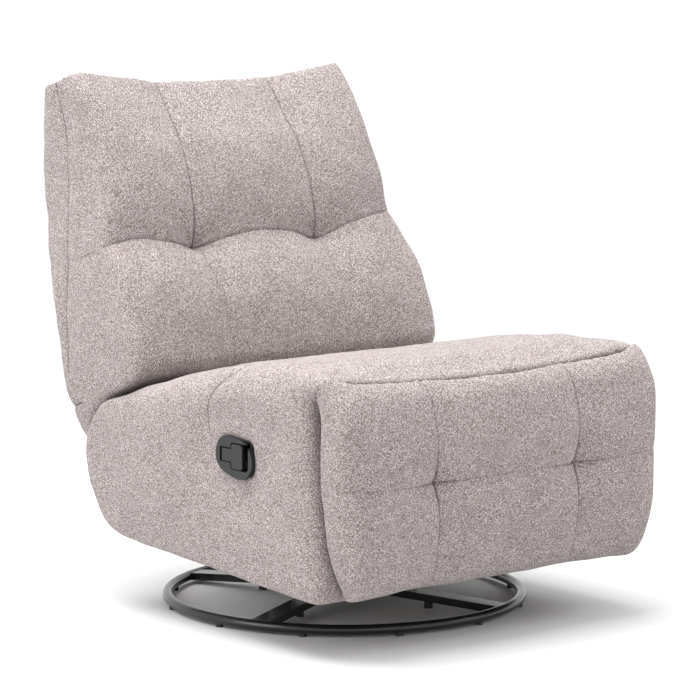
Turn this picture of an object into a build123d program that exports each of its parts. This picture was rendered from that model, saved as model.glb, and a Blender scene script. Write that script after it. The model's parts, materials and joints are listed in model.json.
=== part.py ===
from build123d import *
import os
from math import atan2, cos, degrees, dist, radians, sin

os.makedirs("parts", exist_ok=True)

# Glider nursery chair. The floor is z = 0, the front faces -Y and the sitter's left is +X.
# The origin is on the floor under the middle of the chair's outline. Lengths are in millimetres.

# Base
swivel_y = -15                 # the swivel axis stands a little forward of the middle
ring_radius = 330
tube_radius = 9.5
tube_wall = 1.6
glide_height = 4
ring_z = glide_height + tube_radius
seam_angle = 22.5              # the two half rings butt here and on the far side
bar_width = 36
bar_height = 14
bar_rise = 12                  # from the ring up to the hub
bar_ring_z = ring_z - bar_height / 2
hub_flat = 110                 # half length of the level middle of a bar
hub_plate_radius = 75
hub_plate_thickness = 4
bolt_circle = 40
hub_z = bar_ring_z + bar_rise + bar_height

# Swivel bearing
race_inner, race_outer = 50, 112
race_thickness = 4
ball_radius = 3
ball_circle = 92
ball_count = 24
lower_race_z = hub_z + hub_plate_thickness
ball_z = lower_race_z + race_thickness + 2
upper_race_z = ball_z + 2

# Swivel frame and glide links
frame_tube = 22
frame_half_length = 128
crossbar_height = 18
crossbar_y = 70
swivel_top_z = upper_race_z + race_thickness
frame_rail_z = swivel_top_z + crossbar_height
rail_outer_x = 111
steel = 4
link_pivot_y = 110
upper_pivot_z = 205
link_length = 110
lower_pivot_z = upper_pivot_z - link_length
link_x = 116
link_thickness = 5
link_radius = 14
pin_radius = 5
running_gap = 0.06
bush_radius = 7
hanger_x = 122

# Seat carriage and body
carriage_rail_z = 240
plate_x = 290                  # inner face of the recliner mechanism's side plates
board_x, board_thickness = 298, 18
pad_inner_x, pad_outer_x = 320, 375
spring_z = 330
spring_wire = 1.75
foam_bottom_z = 336
foam_half_width = 270
bottom_front_z = 101
seat_front_y = -360

# Backrest: it turns on an axis near the rear end of the side boards
pivot_y, pivot_z = 174, 278
back_lean = 20                 # from upright, at rest
side_end_radius = 118
back_top_u = 733
back_top_rear_n = -64
bracket_x, bracket_thickness = 280, 5

# Footrest: it turns on an axis just under the seam between the seat and the front pad
hinge_y, hinge_z = -395, 458
arm_y, arm_z = 4, -112         # from the hinge to the coupler pin
crank_dy, crank_dz = 113, -35  # from the hinge to the crank pivot
crank_x, coupler_x = 284, 279
crank_radius = 10
coupler_radius = 8
link_pin_radius = 4
board_front_y = -411

# Handle, on the sitter's right
bezel_y, bezel_z = -176, 330
bezel_face_x = -384
bezel_back_x = -377
cup_back_x = -334
paddle_axis_x, paddle_axis_y = -374, -146


def save(piece, node):
    piece.part.label = node
    export_step(piece.part, f"parts/{node}.step")


def radial_plane(angle):
    """Upright plane through the swivel axis, its x running out at the angle and its y up."""
    a = radians(angle)
    return Plane(origin=(0, swivel_y, 0), x_dir=(cos(a), sin(a), 0), z_dir=(sin(a), -cos(a), 0))


def side_plane(x):
    """Plane across X, its x towards the rear and its y up."""
    return Plane.YZ.offset(x)


def back_plane(x):
    """Plane across X with its origin on the recline axis, its x up the back and its y to the front."""
    lean = radians(back_lean)
    return Plane(origin=(x, pivot_y, pivot_z), x_dir=(0, sin(lean), cos(lean)), z_dir=(1, 0, 0))


def about_pivot(radius, angle):
    """A point on a circle round the recline axis; 0 degrees is rearwards and 90 is up."""
    return (pivot_y + radius * cos(radians(angle)), pivot_z + radius * sin(radians(angle)))


def spans(low, high):
    """The same stretch of X on both sides of the chair, as (start, length)."""
    return [(low, high - low), (-high, high - low)]


swivel_axis = Axis((0, swivel_y, 0), (0, 0, 1))
pivot_rows = [swivel_y - link_pivot_y, swivel_y + link_pivot_y]
back_slope = radians(back_lean)
back_rear_y = pivot_y + back_top_u * sin(back_slope) - back_top_rear_n * cos(back_slope)
pad_front_y = -back_rear_y


# ---- Base ----

def make_ring():
    for node, angle in [("ring_half_rear", seam_angle), ("ring_half_front", seam_angle - 180)]:
        with BuildPart() as half:
            with BuildSketch(radial_plane(angle)):
                with Locations((ring_radius, ring_z)):
                    Circle(tube_radius)
                    Circle(tube_radius - tube_wall, mode=Mode.SUBTRACT)
            revolve(axis=swivel_axis, revolution_arc=180)
        save(half, node)
    sleeve_arc = 9
    with BuildPart() as sleeves:
        for angle in (seam_angle, seam_angle + 180):
            with BuildSketch(radial_plane(angle - sleeve_arc / 2)):
                with Locations((ring_radius, ring_z)):
                    Circle(tube_radius - tube_wall - 0.1)
                    Circle(tube_radius - 2 * tube_wall - 0.1, mode=Mode.SUBTRACT)
            revolve(axis=swivel_axis, revolution_arc=sleeve_arc)
    save(sleeves, "ring_joint_sleeves")


def bar_profile(start):
    """Side view of a cross bar from the start out to the ring, where its end is coped."""
    end = ring_radius - 4
    low = bar_ring_z
    Polyline((start, low + bar_rise), (hub_flat, low + bar_rise), (end, low),
             (end, low + bar_height), (hub_flat, low + bar_rise + bar_height),
             (start, low + bar_rise + bar_height), close=True)


def ring_section():
    with BuildSketch(radial_plane(0)) as section:
        with Locations((ring_radius, ring_z)):
            Circle(tube_radius)
    return section.sketch


def cut_ring_and_bolts():
    revolve(ring_section(), axis=swivel_axis, mode=Mode.SUBTRACT)
    with Locations((0, swivel_y, hub_z)):
        with PolarLocations(bolt_circle, 4, start_angle=seam_angle):
            Hole(4.2, 60)


def make_cross_bars():
    with BuildPart() as long_bar:
        for angle in (seam_angle + 90, seam_angle - 90):
            with BuildSketch(radial_plane(angle)):
                with BuildLine():
                    bar_profile(0)
                make_face()
            extrude(amount=bar_width / 2, both=True)
        cut_ring_and_bolts()
    save(long_bar, "cross_bar")
    with BuildPart() as short_bars:
        for angle in (seam_angle, seam_angle + 180):
            with BuildSketch(radial_plane(angle)):
                with BuildLine():
                    bar_profile(bar_width / 2)
                make_face()
            extrude(amount=bar_width / 2, both=True)
        cut_ring_and_bolts()
    save(short_bars, "cross_bar_halves")


def make_hub():
    with BuildPart() as plate:
        with BuildSketch(Plane((0, swivel_y, hub_z))):
            Circle(hub_plate_radius)
            with PolarLocations(bolt_circle, 4, start_angle=seam_angle):
                Circle(4.2, mode=Mode.SUBTRACT)
        extrude(amount=hub_plate_thickness)
    save(plate, "hub_plate")
    head_z = hub_z + hub_plate_thickness
    nut_z = hub_z - bar_height
    with BuildPart() as bolts:
        with BuildSketch(Plane((0, swivel_y, nut_z - 7))):
            with PolarLocations(bolt_circle, 4, start_angle=seam_angle):
                Circle(4)
        extrude(amount=head_z - nut_z + 7)
        with BuildSketch(Plane((0, swivel_y, head_z))):
            with PolarLocations(bolt_circle, 4, start_angle=seam_angle):
                RegularPolygon(7, 6)
        extrude(amount=5)
        with BuildSketch(Plane((0, swivel_y, nut_z - 6))):
            with PolarLocations(bolt_circle, 4, start_angle=seam_angle):
                RegularPolygon(7, 6)
        extrude(amount=6)
    save(bolts, "hub_bolts")


def make_glides():
    """Round plastic feet, each with a saddle that fits the tube or bar over it."""
    with BuildPart() as ring_glides:
        with BuildSketch(Plane((0, swivel_y, 0))):
            with PolarLocations(ring_radius, 12, start_angle=seam_angle - 15):
                Circle(7)
        extrude(amount=ring_z - 2)
        revolve(ring_section(), axis=swivel_axis, mode=Mode.SUBTRACT)
    save(ring_glides, "ring_glides")
    reach = 175
    bar_slope = bar_rise / (ring_radius - 4 - hub_flat)
    under_z = bar_ring_z + bar_rise - (reach - 7 - hub_flat) * bar_slope
    with BuildPart() as bar_glides:
        with BuildSketch(Plane((0, swivel_y, 0))):
            with PolarLocations(reach, 4, start_angle=seam_angle):
                Circle(8)
        extrude(amount=under_z + 3)
        for corner in range(4):
            with BuildSketch(radial_plane(seam_angle + 90 * corner)):
                with BuildLine():
                    bar_profile(20)
                make_face()
            extrude(amount=bar_width / 2, both=True, mode=Mode.SUBTRACT)
    save(bar_glides, "bar_glides")


# ---- Swivel bearing and frame ----

def make_bearing():
    for node, low in [("swivel_race_lower", lower_race_z), ("swivel_race_upper", upper_race_z)]:
        with BuildPart() as race:
            with BuildSketch(Plane((0, swivel_y, low))):
                Circle(race_outer)
                Circle(race_inner, mode=Mode.SUBTRACT)
            extrude(amount=race_thickness)
            with BuildSketch(radial_plane(0)):
                with Locations((ball_circle, ball_z)):
                    Circle(ball_radius + 0.3)
            revolve(axis=swivel_axis, mode=Mode.SUBTRACT)
        save(race, node)
    with BuildPart() as balls:
        with Locations((0, swivel_y, ball_z)):
            with PolarLocations(ball_circle, ball_count):
                Sphere(ball_radius)
    save(balls, "swivel_balls")


def make_swivel_frame():
    half = crossbar_height / 2
    with BuildPart() as crossbars:
        for side in (-1, 1):
            with BuildSketch(Plane.YZ.offset(-rail_outer_x)):
                with Locations((swivel_y + side * crossbar_y, swivel_top_z + half)):
                    Rectangle(24, crossbar_height)
                    Rectangle(20, crossbar_height - 4, mode=Mode.SUBTRACT)
            extrude(amount=2 * rail_outer_x)
    save(crossbars, "swivel_crossbars")
    with BuildPart() as rails:
        for side in (-1, 1):
            with BuildSketch(Plane.XZ.offset(-swivel_y - frame_half_length)):
                with Locations((side * (rail_outer_x - frame_tube / 2), frame_rail_z + frame_tube / 2)):
                    Rectangle(frame_tube, frame_tube)
                    Rectangle(frame_tube - 4, frame_tube - 4, mode=Mode.SUBTRACT)
            extrude(amount=2 * frame_half_length)
    save(rails, "swivel_rails")
    height = upper_pivot_z - frame_rail_z
    with BuildPart() as brackets:
        for start, length in spans(rail_outer_x, rail_outer_x + steel):
            with BuildSketch(side_plane(start)):
                for y in pivot_rows:
                    with Locations((y, frame_rail_z + height / 2)):
                        Rectangle(32, height)
                    with Locations((y, upper_pivot_z)):
                        Circle(16)
                        Circle(pin_radius, mode=Mode.SUBTRACT)
            extrude(amount=length)
    save(brackets, "hanger_brackets")


def make_pins(node, z, low, high, head_low, head_high):
    """One headed pin at each of the four pivots at this height."""
    with BuildPart() as pins:
        for radius, first, last in [(pin_radius, low, high), (8, head_low, head_high)]:
            for start, length in spans(first, last):
                with BuildSketch(side_plane(start)):
                    for y in pivot_rows:
                        with Locations((y, z)):
                            Circle(radius)
                extrude(amount=length)
    save(pins, node)


def make_links():
    for name, y in zip(("front", "rear"), pivot_rows):
        ends = [(y, upper_pivot_z), (y, lower_pivot_z)]
        with BuildPart() as links:
            for start, length in spans(link_x, link_x + link_thickness):
                with BuildSketch(side_plane(start)):
                    with Locations((y, (upper_pivot_z + lower_pivot_z) / 2)):
                        SlotCenterToCenter(link_length, 2 * link_radius, rotation=90)
                    with Locations(*ends):
                        Circle(bush_radius, mode=Mode.SUBTRACT)
                extrude(amount=length)
        save(links, f"{name}_swing_links")
        with BuildPart() as bushes:
            for start, length in spans(link_x, link_x + link_thickness):
                with BuildSketch(side_plane(start)):
                    with Locations(*ends):
                        Circle(bush_radius)
                        Circle(pin_radius + running_gap, mode=Mode.SUBTRACT)
                extrude(amount=length)
        save(bushes, f"{name}_link_bushes")


# ---- Seat carriage ----

def make_carriage():
    height = carriage_rail_z + frame_tube - lower_pivot_z
    with BuildPart() as hangers:
        for start, length in spans(hanger_x, hanger_x + steel):
            with BuildSketch(side_plane(start)):
                for y in pivot_rows:
                    with Locations((y, lower_pivot_z + height / 2)):
                        Rectangle(2 * link_radius, height)
                    with Locations((y, lower_pivot_z)):
                        Circle(link_radius)
                        Circle(pin_radius, mode=Mode.SUBTRACT)
            extrude(amount=length)
    save(hangers, "carriage_hangers")
    rail_front, rail_rear = -300, 108
    with BuildPart() as rails:
        for start, length in spans(hanger_x + steel, hanger_x + steel + frame_tube):
            with BuildSketch(side_plane(start)):
                with Locations(((rail_front + rail_rear) / 2, carriage_rail_z + frame_tube / 2)):
                    Rectangle(rail_rear - rail_front, frame_tube)
            extrude(amount=length)
    save(rails, "carriage_rails")
    with BuildPart() as crossbars:
        with BuildSketch(side_plane(-plate_x)):
            for y in (-220, 60):
                with Locations((y, carriage_rail_z + 1.5 * frame_tube)):
                    Rectangle(24, frame_tube)
                    Rectangle(20, frame_tube - 4, mode=Mode.SUBTRACT)
        extrude(amount=2 * plate_x)
    save(crossbars, "carriage_crossbars")


mechanism_bolt_points = [(-150, 250), (-20, 250), (94, 256)]
crank_pivot = (hinge_y + crank_dy, hinge_z + crank_dz)
crank_end = (crank_pivot[0] + arm_y, crank_pivot[1] + arm_z)
arm_end = (hinge_y + arm_y, hinge_z + arm_z)
lever_pivot = (-240, 306)


def make_mechanism_plates():
    outline = [(-318, 236), (60, 236), (184, 250), (200, 278), (184, 303), (60, 304), (-215, 318),
               (-262, 350), (-266, 441), (-393, 467), (-404, 458), (-393, 449), (-306, 412), (-318, 300)]
    for node, start in [("mechanism_plate_left", plate_x), ("mechanism_plate_right", -plate_x - steel)]:
        with BuildPart() as plate:
            with BuildSketch(side_plane(start)):
                with BuildLine():
                    Polyline(*outline, close=True)
                make_face()
                with Locations((pivot_y, pivot_z), crank_pivot):
                    Circle(pin_radius, mode=Mode.SUBTRACT)
                with Locations((hinge_y, hinge_z), lever_pivot):
                    Circle(link_pin_radius, mode=Mode.SUBTRACT)
                with Locations(*mechanism_bolt_points):
                    Circle(4.2, mode=Mode.SUBTRACT)
            extrude(amount=steel)
        save(plate, node)
    with BuildPart() as bolts:
        for radius, first, last in [(4, plate_x, board_x + board_thickness + 1), (7, plate_x - 5, plate_x)]:
            for start, length in spans(first, last):
                with BuildSketch(side_plane(start)):
                    with Locations(*mechanism_bolt_points):
                        Circle(radius)
                extrude(amount=length)
    save(bolts, "mechanism_bolts")


def make_side_boards():
    """Plywood sides. The right one has a window for the handle's cup."""
    end_radius = 88
    for node, start in [("side_board_left", board_x), ("side_board_right", -board_x - board_thickness)]:
        with BuildPart() as board:
            with BuildSketch(side_plane(start)):
                with BuildLine():
                    Polyline((-340, 130), (-340, 455), (-118, 448), (80, 400), about_pivot(end_radius, 75))
                    ThreePointArc(about_pivot(end_radius, 75), about_pivot(end_radius, 0),
                                  about_pivot(end_radius, -85))
                    Polyline(about_pivot(end_radius, -85), (-65, 160), (-340, 130))
                make_face()
                with Locations(*mechanism_bolt_points):
                    Circle(4.2, mode=Mode.SUBTRACT)
            extrude(amount=board_thickness)
            if start < 0:
                with BuildSketch(side_plane(start)):
                    with Locations((bezel_y, bezel_z)):
                        RectangleRounded(92, 66, 12)
                extrude(amount=board_thickness, mode=Mode.SUBTRACT)
        save(board, node)


def make_side_pads():
    """Padded sides: the top edge slopes down to a rear end that is round about the recline axis."""
    top = [(seat_front_y - 6, 484), (-240, 499), (-118, 480), (-9, 453), (79, 430), (159, 399),
           about_pivot(side_end_radius, 62)]
    bottom = [about_pivot(side_end_radius, -48), (240, 166), (204, 141), (145, 132), (52, 126),
              (-65, 119), (-210, 110), (-385, bottom_front_z)]
    for node, start in [("side_pad_left", pad_inner_x), ("side_pad_right", -pad_outer_x)]:
        with BuildPart() as pad:
            with BuildSketch(side_plane(start)):
                with BuildLine():
                    Spline(*top)
                    ThreePointArc(top[-1], about_pivot(side_end_radius, 0), bottom[0])
                    Spline(*bottom)
                    Line(bottom[-1], top[0])
                make_face()
            extrude(amount=pad_outer_x - pad_inner_x)
            if start < 0:
                with BuildSketch(side_plane(start)):
                    with Locations((bezel_y, bezel_z)):
                        RectangleRounded(92, 66, 12)
                extrude(amount=pad_outer_x - pad_inner_x, mode=Mode.SUBTRACT)
        save(pad, node)


def make_rails():
    with BuildPart() as front:
        with BuildSketch(Plane.XZ.offset(312)):
            with Locations((0, 218)):
                Rectangle(2 * plate_x, 134)
            with Locations((0, 306)):
                Rectangle(2 * foam_half_width, 44)
        extrude(amount=18)
    save(front, "front_rail")
    with BuildPart() as rear:
        with BuildSketch(Plane.XZ.offset(-128)):
            with Locations((0, 290)):
                Rectangle(2 * plate_x, 76)
        extrude(amount=18)
    save(rear, "rear_rail")
    with BuildPart() as panel:
        with BuildSketch(side_plane(-276)):
            with BuildLine():
                outer = ThreePointArc(about_pivot(116, 50), about_pivot(116, -15), about_pivot(116, -78))
                inner = ThreePointArc(about_pivot(110, -78), about_pivot(110, -15), about_pivot(110, 50))
                Line(outer @ 1, inner @ 0)
                Line(inner @ 1, outer @ 0)
            make_face()
        extrude(amount=552)
    save(panel, "rear_panel")


def make_seat_springs():
    """Sinuous wire springs from the front rail to the rear rail."""
    front, rear, loops, reach = -326, 124, 16, 20
    step = (rear - front) / loops
    corners = [(0, front)]
    for index in range(loops):
        side = reach if index % 2 else -reach
        corners += [(side, front + step * (index + 0.1)), (side, front + step * (index + 0.9))]
    corners.append((0, rear))
    with BuildPart() as springs:
        for x in (-208, -104, 0, 104, 208):
            with BuildLine(Plane((x, 0, spring_z))):
                route = FilletPolyline(*corners, radius=9)
            with BuildSketch(Plane(origin=route @ 0, z_dir=route % 0)):
                Circle(spring_wire)
            sweep(path=route)
    save(springs, "seat_springs")


def make_seat_foam():
    with BuildPart() as foam:
        with BuildSketch(side_plane(-foam_half_width)):
            with BuildLine():
                crown = [(seat_front_y, 462), (-340, 486), (-240, 500), (-118, 488), (0, 463), (130, 425)]
                Polyline(crown[-1], (130, foam_bottom_z), (seat_front_y, foam_bottom_z), crown[0])
                Spline(*crown)
            make_face()
        extrude(amount=2 * foam_half_width)
    save(foam, "seat_foam")


def make_fixed_pins():
    """Bolts that stay in the mechanism plates: recline axis, crank pivot, footrest hinge, lever."""
    with BuildPart() as back_bolts:
        for radius, first, last in [(pin_radius, 276, 296), (9, 272, 278)]:
            for start, length in spans(first, last):
                with BuildSketch(side_plane(start)):
                    with Locations((pivot_y, pivot_z)):
                        Circle(radius)
                extrude(amount=length)
    save(back_bolts, "recline_bolts")
    with BuildPart() as rest_bolts:
        for point, radius, head in [(crank_pivot, pin_radius, 8), ((hinge_y, hinge_z), link_pin_radius, 6)]:
            for start, length in spans(crank_x - 2, plate_x + steel):
                with BuildSketch(side_plane(start)):
                    with Locations(point):
                        Circle(radius)
                extrude(amount=length)
            for start, length in spans(crank_x - 3, crank_x - 1):
                with BuildSketch(side_plane(start)):
                    with Locations(point):
                        Circle(head)
                extrude(amount=length)
        with BuildSketch(side_plane(-plate_x - steel)):
            with Locations(lever_pivot):
                Circle(link_pin_radius)
        extrude(amount=steel + 7)
    save(rest_bolts, "footrest_bolts")


# ---- Footrest ----

def make_footrest():
    with BuildPart() as board:
        with BuildSketch(Plane.XZ.offset(-board_front_y - 11)):
            with Locations((0, 285)):
                RectangleRounded(700, 310, 20)
        extrude(amount=11)
    save(board, "footrest_board")
    with BuildPart() as brackets:
        for start, length in spans(crank_x, crank_x + steel):
            with BuildSketch(side_plane(start)):
                with Locations((-390, 344)):
                    Rectangle(18, 228)
                with Locations((hinge_y, hinge_z)):
                    Circle(9)
                    Circle(link_pin_radius + running_gap, mode=Mode.SUBTRACT)
                with Locations(arm_end):
                    Circle(link_pin_radius, mode=Mode.SUBTRACT)
            extrude(amount=length)
        for start, length in spans(crank_x + steel, 312):
            with BuildSketch(side_plane(start)):
                with Locations((-397.5, 335)):
                    Rectangle(3, 210)
            extrude(amount=length)
    save(brackets, "footrest_brackets")
    make_link_pins("footrest_link_pins", arm_end)
    pad_side = [(333, 107), (363, 163), (385, 250), (389, 330), (385, 400), (363, 484)]
    with BuildPart() as pad:
        with BuildSketch(Plane.XZ.offset(412)):
            with BuildLine():
                Spline(*pad_side)
                Spline(*[(-x, z) for x, z in pad_side])
                Line((-333, 107), (333, 107))
                Line((-363, 484), (363, 484))
            make_face()
        extrude(amount=-pad_front_y - 412)
        chamfer(pad.faces().sort_by(Axis.Y)[0].edges(), length=26)
    save(pad, "footrest_pad")


def make_link_pins(node, point):
    """A rivet on each side that joins a coupler to the crank or to the footrest bracket."""
    with BuildPart() as pins:
        for radius, first, last in [(link_pin_radius, 277, crank_x + steel), (7, 275, 278)]:
            for start, length in spans(first, last):
                with BuildSketch(side_plane(start)):
                    with Locations(point):
                        Circle(radius)
                extrude(amount=length)
    save(pins, node)


def slot_between(first, second, radius):
    """Outline of a round-ended flat link between two pivots."""
    turn = degrees(atan2(second[1] - first[1], second[0] - first[0]))
    with Locations(((first[0] + second[0]) / 2, (first[1] + second[1]) / 2)):
        SlotCenterToCenter(dist(first, second), 2 * radius, rotation=turn)


def make_footrest_linkage():
    with BuildPart() as cranks:
        for start, length in spans(crank_x, crank_x + steel):
            with BuildSketch(side_plane(start)):
                slot_between(crank_pivot, crank_end, crank_radius)
                with Locations(crank_pivot):
                    Circle(pin_radius + running_gap, mode=Mode.SUBTRACT)
                with Locations(crank_end):
                    Circle(link_pin_radius, mode=Mode.SUBTRACT)
            extrude(amount=length)
    save(cranks, "footrest_cranks")
    make_link_pins("crank_pins", crank_end)
    with BuildPart() as couplers:
        for start, length in spans(coupler_x, coupler_x + steel):
            with BuildSketch(side_plane(start)):
                slot_between(crank_end, arm_end, coupler_radius)
                with Locations(crank_end, arm_end):
                    Circle(link_pin_radius + running_gap, mode=Mode.SUBTRACT)
            extrude(amount=length)
    save(couplers, "footrest_couplers")


# ---- Backrest ----

back_front = Plane(origin=(0, pivot_y, pivot_z), x_dir=(1, 0, 0), z_dir=(0, -cos(back_slope), sin(back_slope)))
back_half_widths = [(348, 58), (364, 150), (362, 250), (357, 335),
                    (345, 420), (334, 495), (327, 622), (331, 740)]


def back_outline():
    """The back's outline from the front."""
    with BuildSketch(back_front) as outline:
        with BuildLine():
            Spline(*back_half_widths)
            Spline(*[(-x, u) for x, u in back_half_widths])
            for x, u in (back_half_widths[0], back_half_widths[-1]):
                Line((-x, u), (x, u))
        make_face()
    return outline.sketch


def make_back_frame():
    foot, head, half_tube = 150, 625, 11
    with BuildPart() as brackets:
        for start, length in spans(bracket_x, bracket_x + bracket_thickness):
            with BuildSketch(back_plane(start)):
                slot_between((0, 0), (230, 0), 12)
                Circle(20)
                Circle(pin_radius + running_gap, mode=Mode.SUBTRACT)
            extrude(amount=length)
    save(brackets, "back_brackets")
    with BuildPart() as stiles:
        for start, length in spans(bracket_x - 2 * half_tube, bracket_x):
            with BuildSketch(back_plane(start)):
                with Locations(((foot + head) / 2, 0)):
                    Rectangle(head - foot, 2 * half_tube)
            extrude(amount=length)
    save(stiles, "back_stiles")
    half_span = bracket_x - 2 * half_tube
    with BuildPart() as rails:
        with BuildSketch(back_plane(-half_span)):
            for u in (foot + half_tube, 371, head - half_tube):
                with Locations((u, 0)):
                    Rectangle(2 * half_tube, 2 * half_tube)
        extrude(amount=2 * half_span)
    save(rails, "back_rails")
    with BuildPart() as webbing:
        for middle in (-190, -65, 65, 190):
            with BuildSketch(back_plane(middle - 25)):
                with Locations(((foot + head) / 2, half_tube + 0.8)):
                    Rectangle(head - foot, 1.6)
            extrude(amount=50)
    save(webbing, "back_webbing")


def make_back_upholstery():
    front_n, rear_n, width = 14, -16, 370
    with BuildPart() as cushion:
        with BuildSketch(back_plane(-width)):
            with BuildLine():
                Spline((141, 74), (235, 94), (375, 70), (520, 72), (650, 58), (722, 34))
                Polyline((722, 34), (726, front_n), (132, front_n), (141, 74))
            make_face()
        extrude(amount=2 * width)
        extrude(back_outline(), amount=300, both=True, mode=Mode.INTERSECT)
    save(cushion, "back_cushion")
    with BuildPart() as rear_pad:
        with BuildSketch(back_plane(-width)):
            with BuildLine():
                ThreePointArc((131, rear_n), (121, -53), (101, -85))
                Polyline((101, -85), (139, -158))
                Spline((139, -158), (244, -156), (338, -142), (405, -131), (525, -105), (648, -68),
                       (back_top_u, back_top_rear_n))
                Polyline((back_top_u, back_top_rear_n), (727, rear_n), (131, rear_n))
            make_face()
        extrude(amount=2 * width)
        extrude(back_outline(), amount=300, both=True, mode=Mode.INTERSECT)
    save(rear_pad, "back_rear_pad")
    with BuildPart() as skirt:
        with BuildSketch(back_plane(-width)):
            with BuildLine():
                Polyline((67, -114), (99, -88), (136, -157), (71, -132), close=True)
            make_face()
        extrude(amount=2 * width)
        extrude(back_outline(), amount=300, both=True, mode=Mode.INTERSECT)
    save(skirt, "back_skirt")


# ---- Handle and its cable ----

def make_handle():
    rim = [(-125, 335), (-146, 364), (-182, 364), (-214, 352),
           (-228, 322), (-207, 295), (-166, 296), (-135, 309)]
    wall = 2.5
    with BuildPart() as bezel:
        with BuildSketch(side_plane(bezel_face_x)):
            with BuildLine():
                Spline(*rim, periodic=True)
            make_face()
            with Locations((-191.5, 331)):
                RectangleRounded(51, 48, 8, mode=Mode.SUBTRACT)
            with Locations((-153, 332)):
                Rectangle(32, 26, mode=Mode.SUBTRACT)
        extrude(amount=bezel_back_x - bezel_face_x)
        with BuildSketch(side_plane(bezel_back_x)):
            with Locations((bezel_y, bezel_z)):
                RectangleRounded(88, 62, 11)
                RectangleRounded(88 - 2 * wall, 62 - 2 * wall, 9, mode=Mode.SUBTRACT)
        extrude(amount=cup_back_x - bezel_back_x)
        with BuildSketch(side_plane(cup_back_x)):
            with Locations((bezel_y, bezel_z)):
                RectangleRounded(88, 62, 11)
            with Locations((-160, bezel_z)):
                Circle(4, mode=Mode.SUBTRACT)
        extrude(amount=wall)
        with BuildSketch(side_plane(bezel_back_x)):
            for z in (305, 355):
                with Locations((paddle_axis_y, z)):
                    Rectangle(10, 8)
        extrude(amount=8)
        with BuildSketch(Plane.XY):
            with Locations((paddle_axis_x, paddle_axis_y)):
                Circle(2)
        extrude(amount=400, mode=Mode.SUBTRACT)
    save(bezel, "handle_bezel")
    with BuildPart() as pin:
        with BuildSketch(Plane.XY.offset(302)):
            with Locations((paddle_axis_x, paddle_axis_y)):
                Circle(2)
        extrude(amount=56)
    save(pin, "handle_pin")
    with BuildPart() as paddle:
        with BuildSketch(side_plane(bezel_face_x - 1)):
            with Locations((-185.5, 331)):
                RectangleRounded(32, 44, 6)
            with Locations((-158, 332)):
                Rectangle(28, 22)
        extrude(amount=8)
        with BuildSketch(Plane.XY.offset(321)):
            with Locations((paddle_axis_x, paddle_axis_y)):
                Circle(5)
        extrude(amount=22)
        with BuildSketch(Plane.XY.offset(327)):
            with Locations((paddle_axis_x + 12, paddle_axis_y)):
                SlotCenterToCenter(20, 5)
        extrude(amount=10)
        with BuildSketch(Plane.XY):
            with Locations((paddle_axis_x, paddle_axis_y)):
                Circle(2 + running_gap)
        extrude(amount=400, mode=Mode.SUBTRACT)
    save(paddle, "handle_paddle")
    with BuildPart() as spring:
        with BuildLine(Plane((paddle_axis_x, paddle_axis_y, 344))):
            coil = Helix(pitch=1.3, height=5.2, radius=2.55)
        with BuildSketch(Plane(origin=coil @ 0, z_dir=coil % 0)):
            Circle(0.4)
        sweep(path=coil, is_frenet=True)
    save(spring, "handle_spring")
    with BuildPart() as lever:
        tip = (lever_pivot[0] - 16, lever_pivot[1] + 36)
        cable_arm = (lever_pivot[0] + 16, lever_pivot[1] + 26)
        with BuildSketch(side_plane(-crank_x - steel)):
            slot_between(lever_pivot, tip, 5)
            slot_between(lever_pivot, cable_arm, 5)
            with Locations(lever_pivot):
                Circle(9)
                Circle(link_pin_radius + running_gap, mode=Mode.SUBTRACT)
        extrude(amount=steel)
        with BuildSketch(side_plane(-crank_x)):
            with Locations(cable_arm):
                Circle(3)
        extrude(amount=10)
    save(lever, "release_lever")


def make_cable():
    sheath_radius, start_x, cable_x, cable_y = 2, cup_back_x + 10, -277, -160
    cable_end = (cable_x, -208, 332)
    route_points = [(start_x, cable_y, bezel_z), (cable_x, cable_y, bezel_z), cable_end]
    with BuildPart() as cable:
        with BuildLine():
            route = FilletPolyline(*route_points, radius=20)
        with BuildSketch(Plane(origin=route @ 0, z_dir=route % 0)):
            Circle(sheath_radius)
        sweep(path=route)
    save(cable, "release_cable")
    section = 3.14159 * sheath_radius ** 2
    print("release cable", round(route.length), "mm, volume over section by length",
          round(cable.part.volume / (section * route.length), 4))
    with BuildPart() as ferrules:
        with BuildSketch(side_plane(cup_back_x)):
            with Locations((cable_y, bezel_z)):
                Circle(4)
        extrude(amount=start_x - cup_back_x)
        with BuildSketch(Plane(origin=route @ 1, z_dir=route % 1)):
            Circle(3.5)
        extrude(amount=9)
    save(ferrules, "cable_ferrules")


make_ring()
make_cross_bars()
make_hub()
make_glides()
make_bearing()
make_swivel_frame()
make_pins("upper_link_pins", upper_pivot_z, rail_outer_x, link_x + link_thickness + 0.4,
          rail_outer_x - 5, rail_outer_x)
make_links()
make_pins("lower_link_pins", lower_pivot_z, link_x + 0.2, hanger_x + steel, hanger_x + steel,
          hanger_x + steel + 5)
make_carriage()
make_mechanism_plates()
make_side_boards()
make_side_pads()
make_rails()
make_seat_springs()
make_seat_foam()
make_fixed_pins()
make_footrest()
make_footrest_linkage()
make_back_frame()
make_back_upholstery()
make_handle()
make_cable()
print("rear of the back", round(back_rear_y, 2), "front of the footrest", round(pad_front_y, 2))
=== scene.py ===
# %% [markdown]
# # A swivel glider recliner
# The chair is a low upholstered seat on a round steel base. Its working frame is already modelled, so
# this lesson makes what the eye meets: three stuffed pieces and the finishes, one of them for the moulded pull
# handle.
# We load the frame first and never move it, because every new piece is placed by the frame's sizes.

# %% Load the frame
import json
import math

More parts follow.
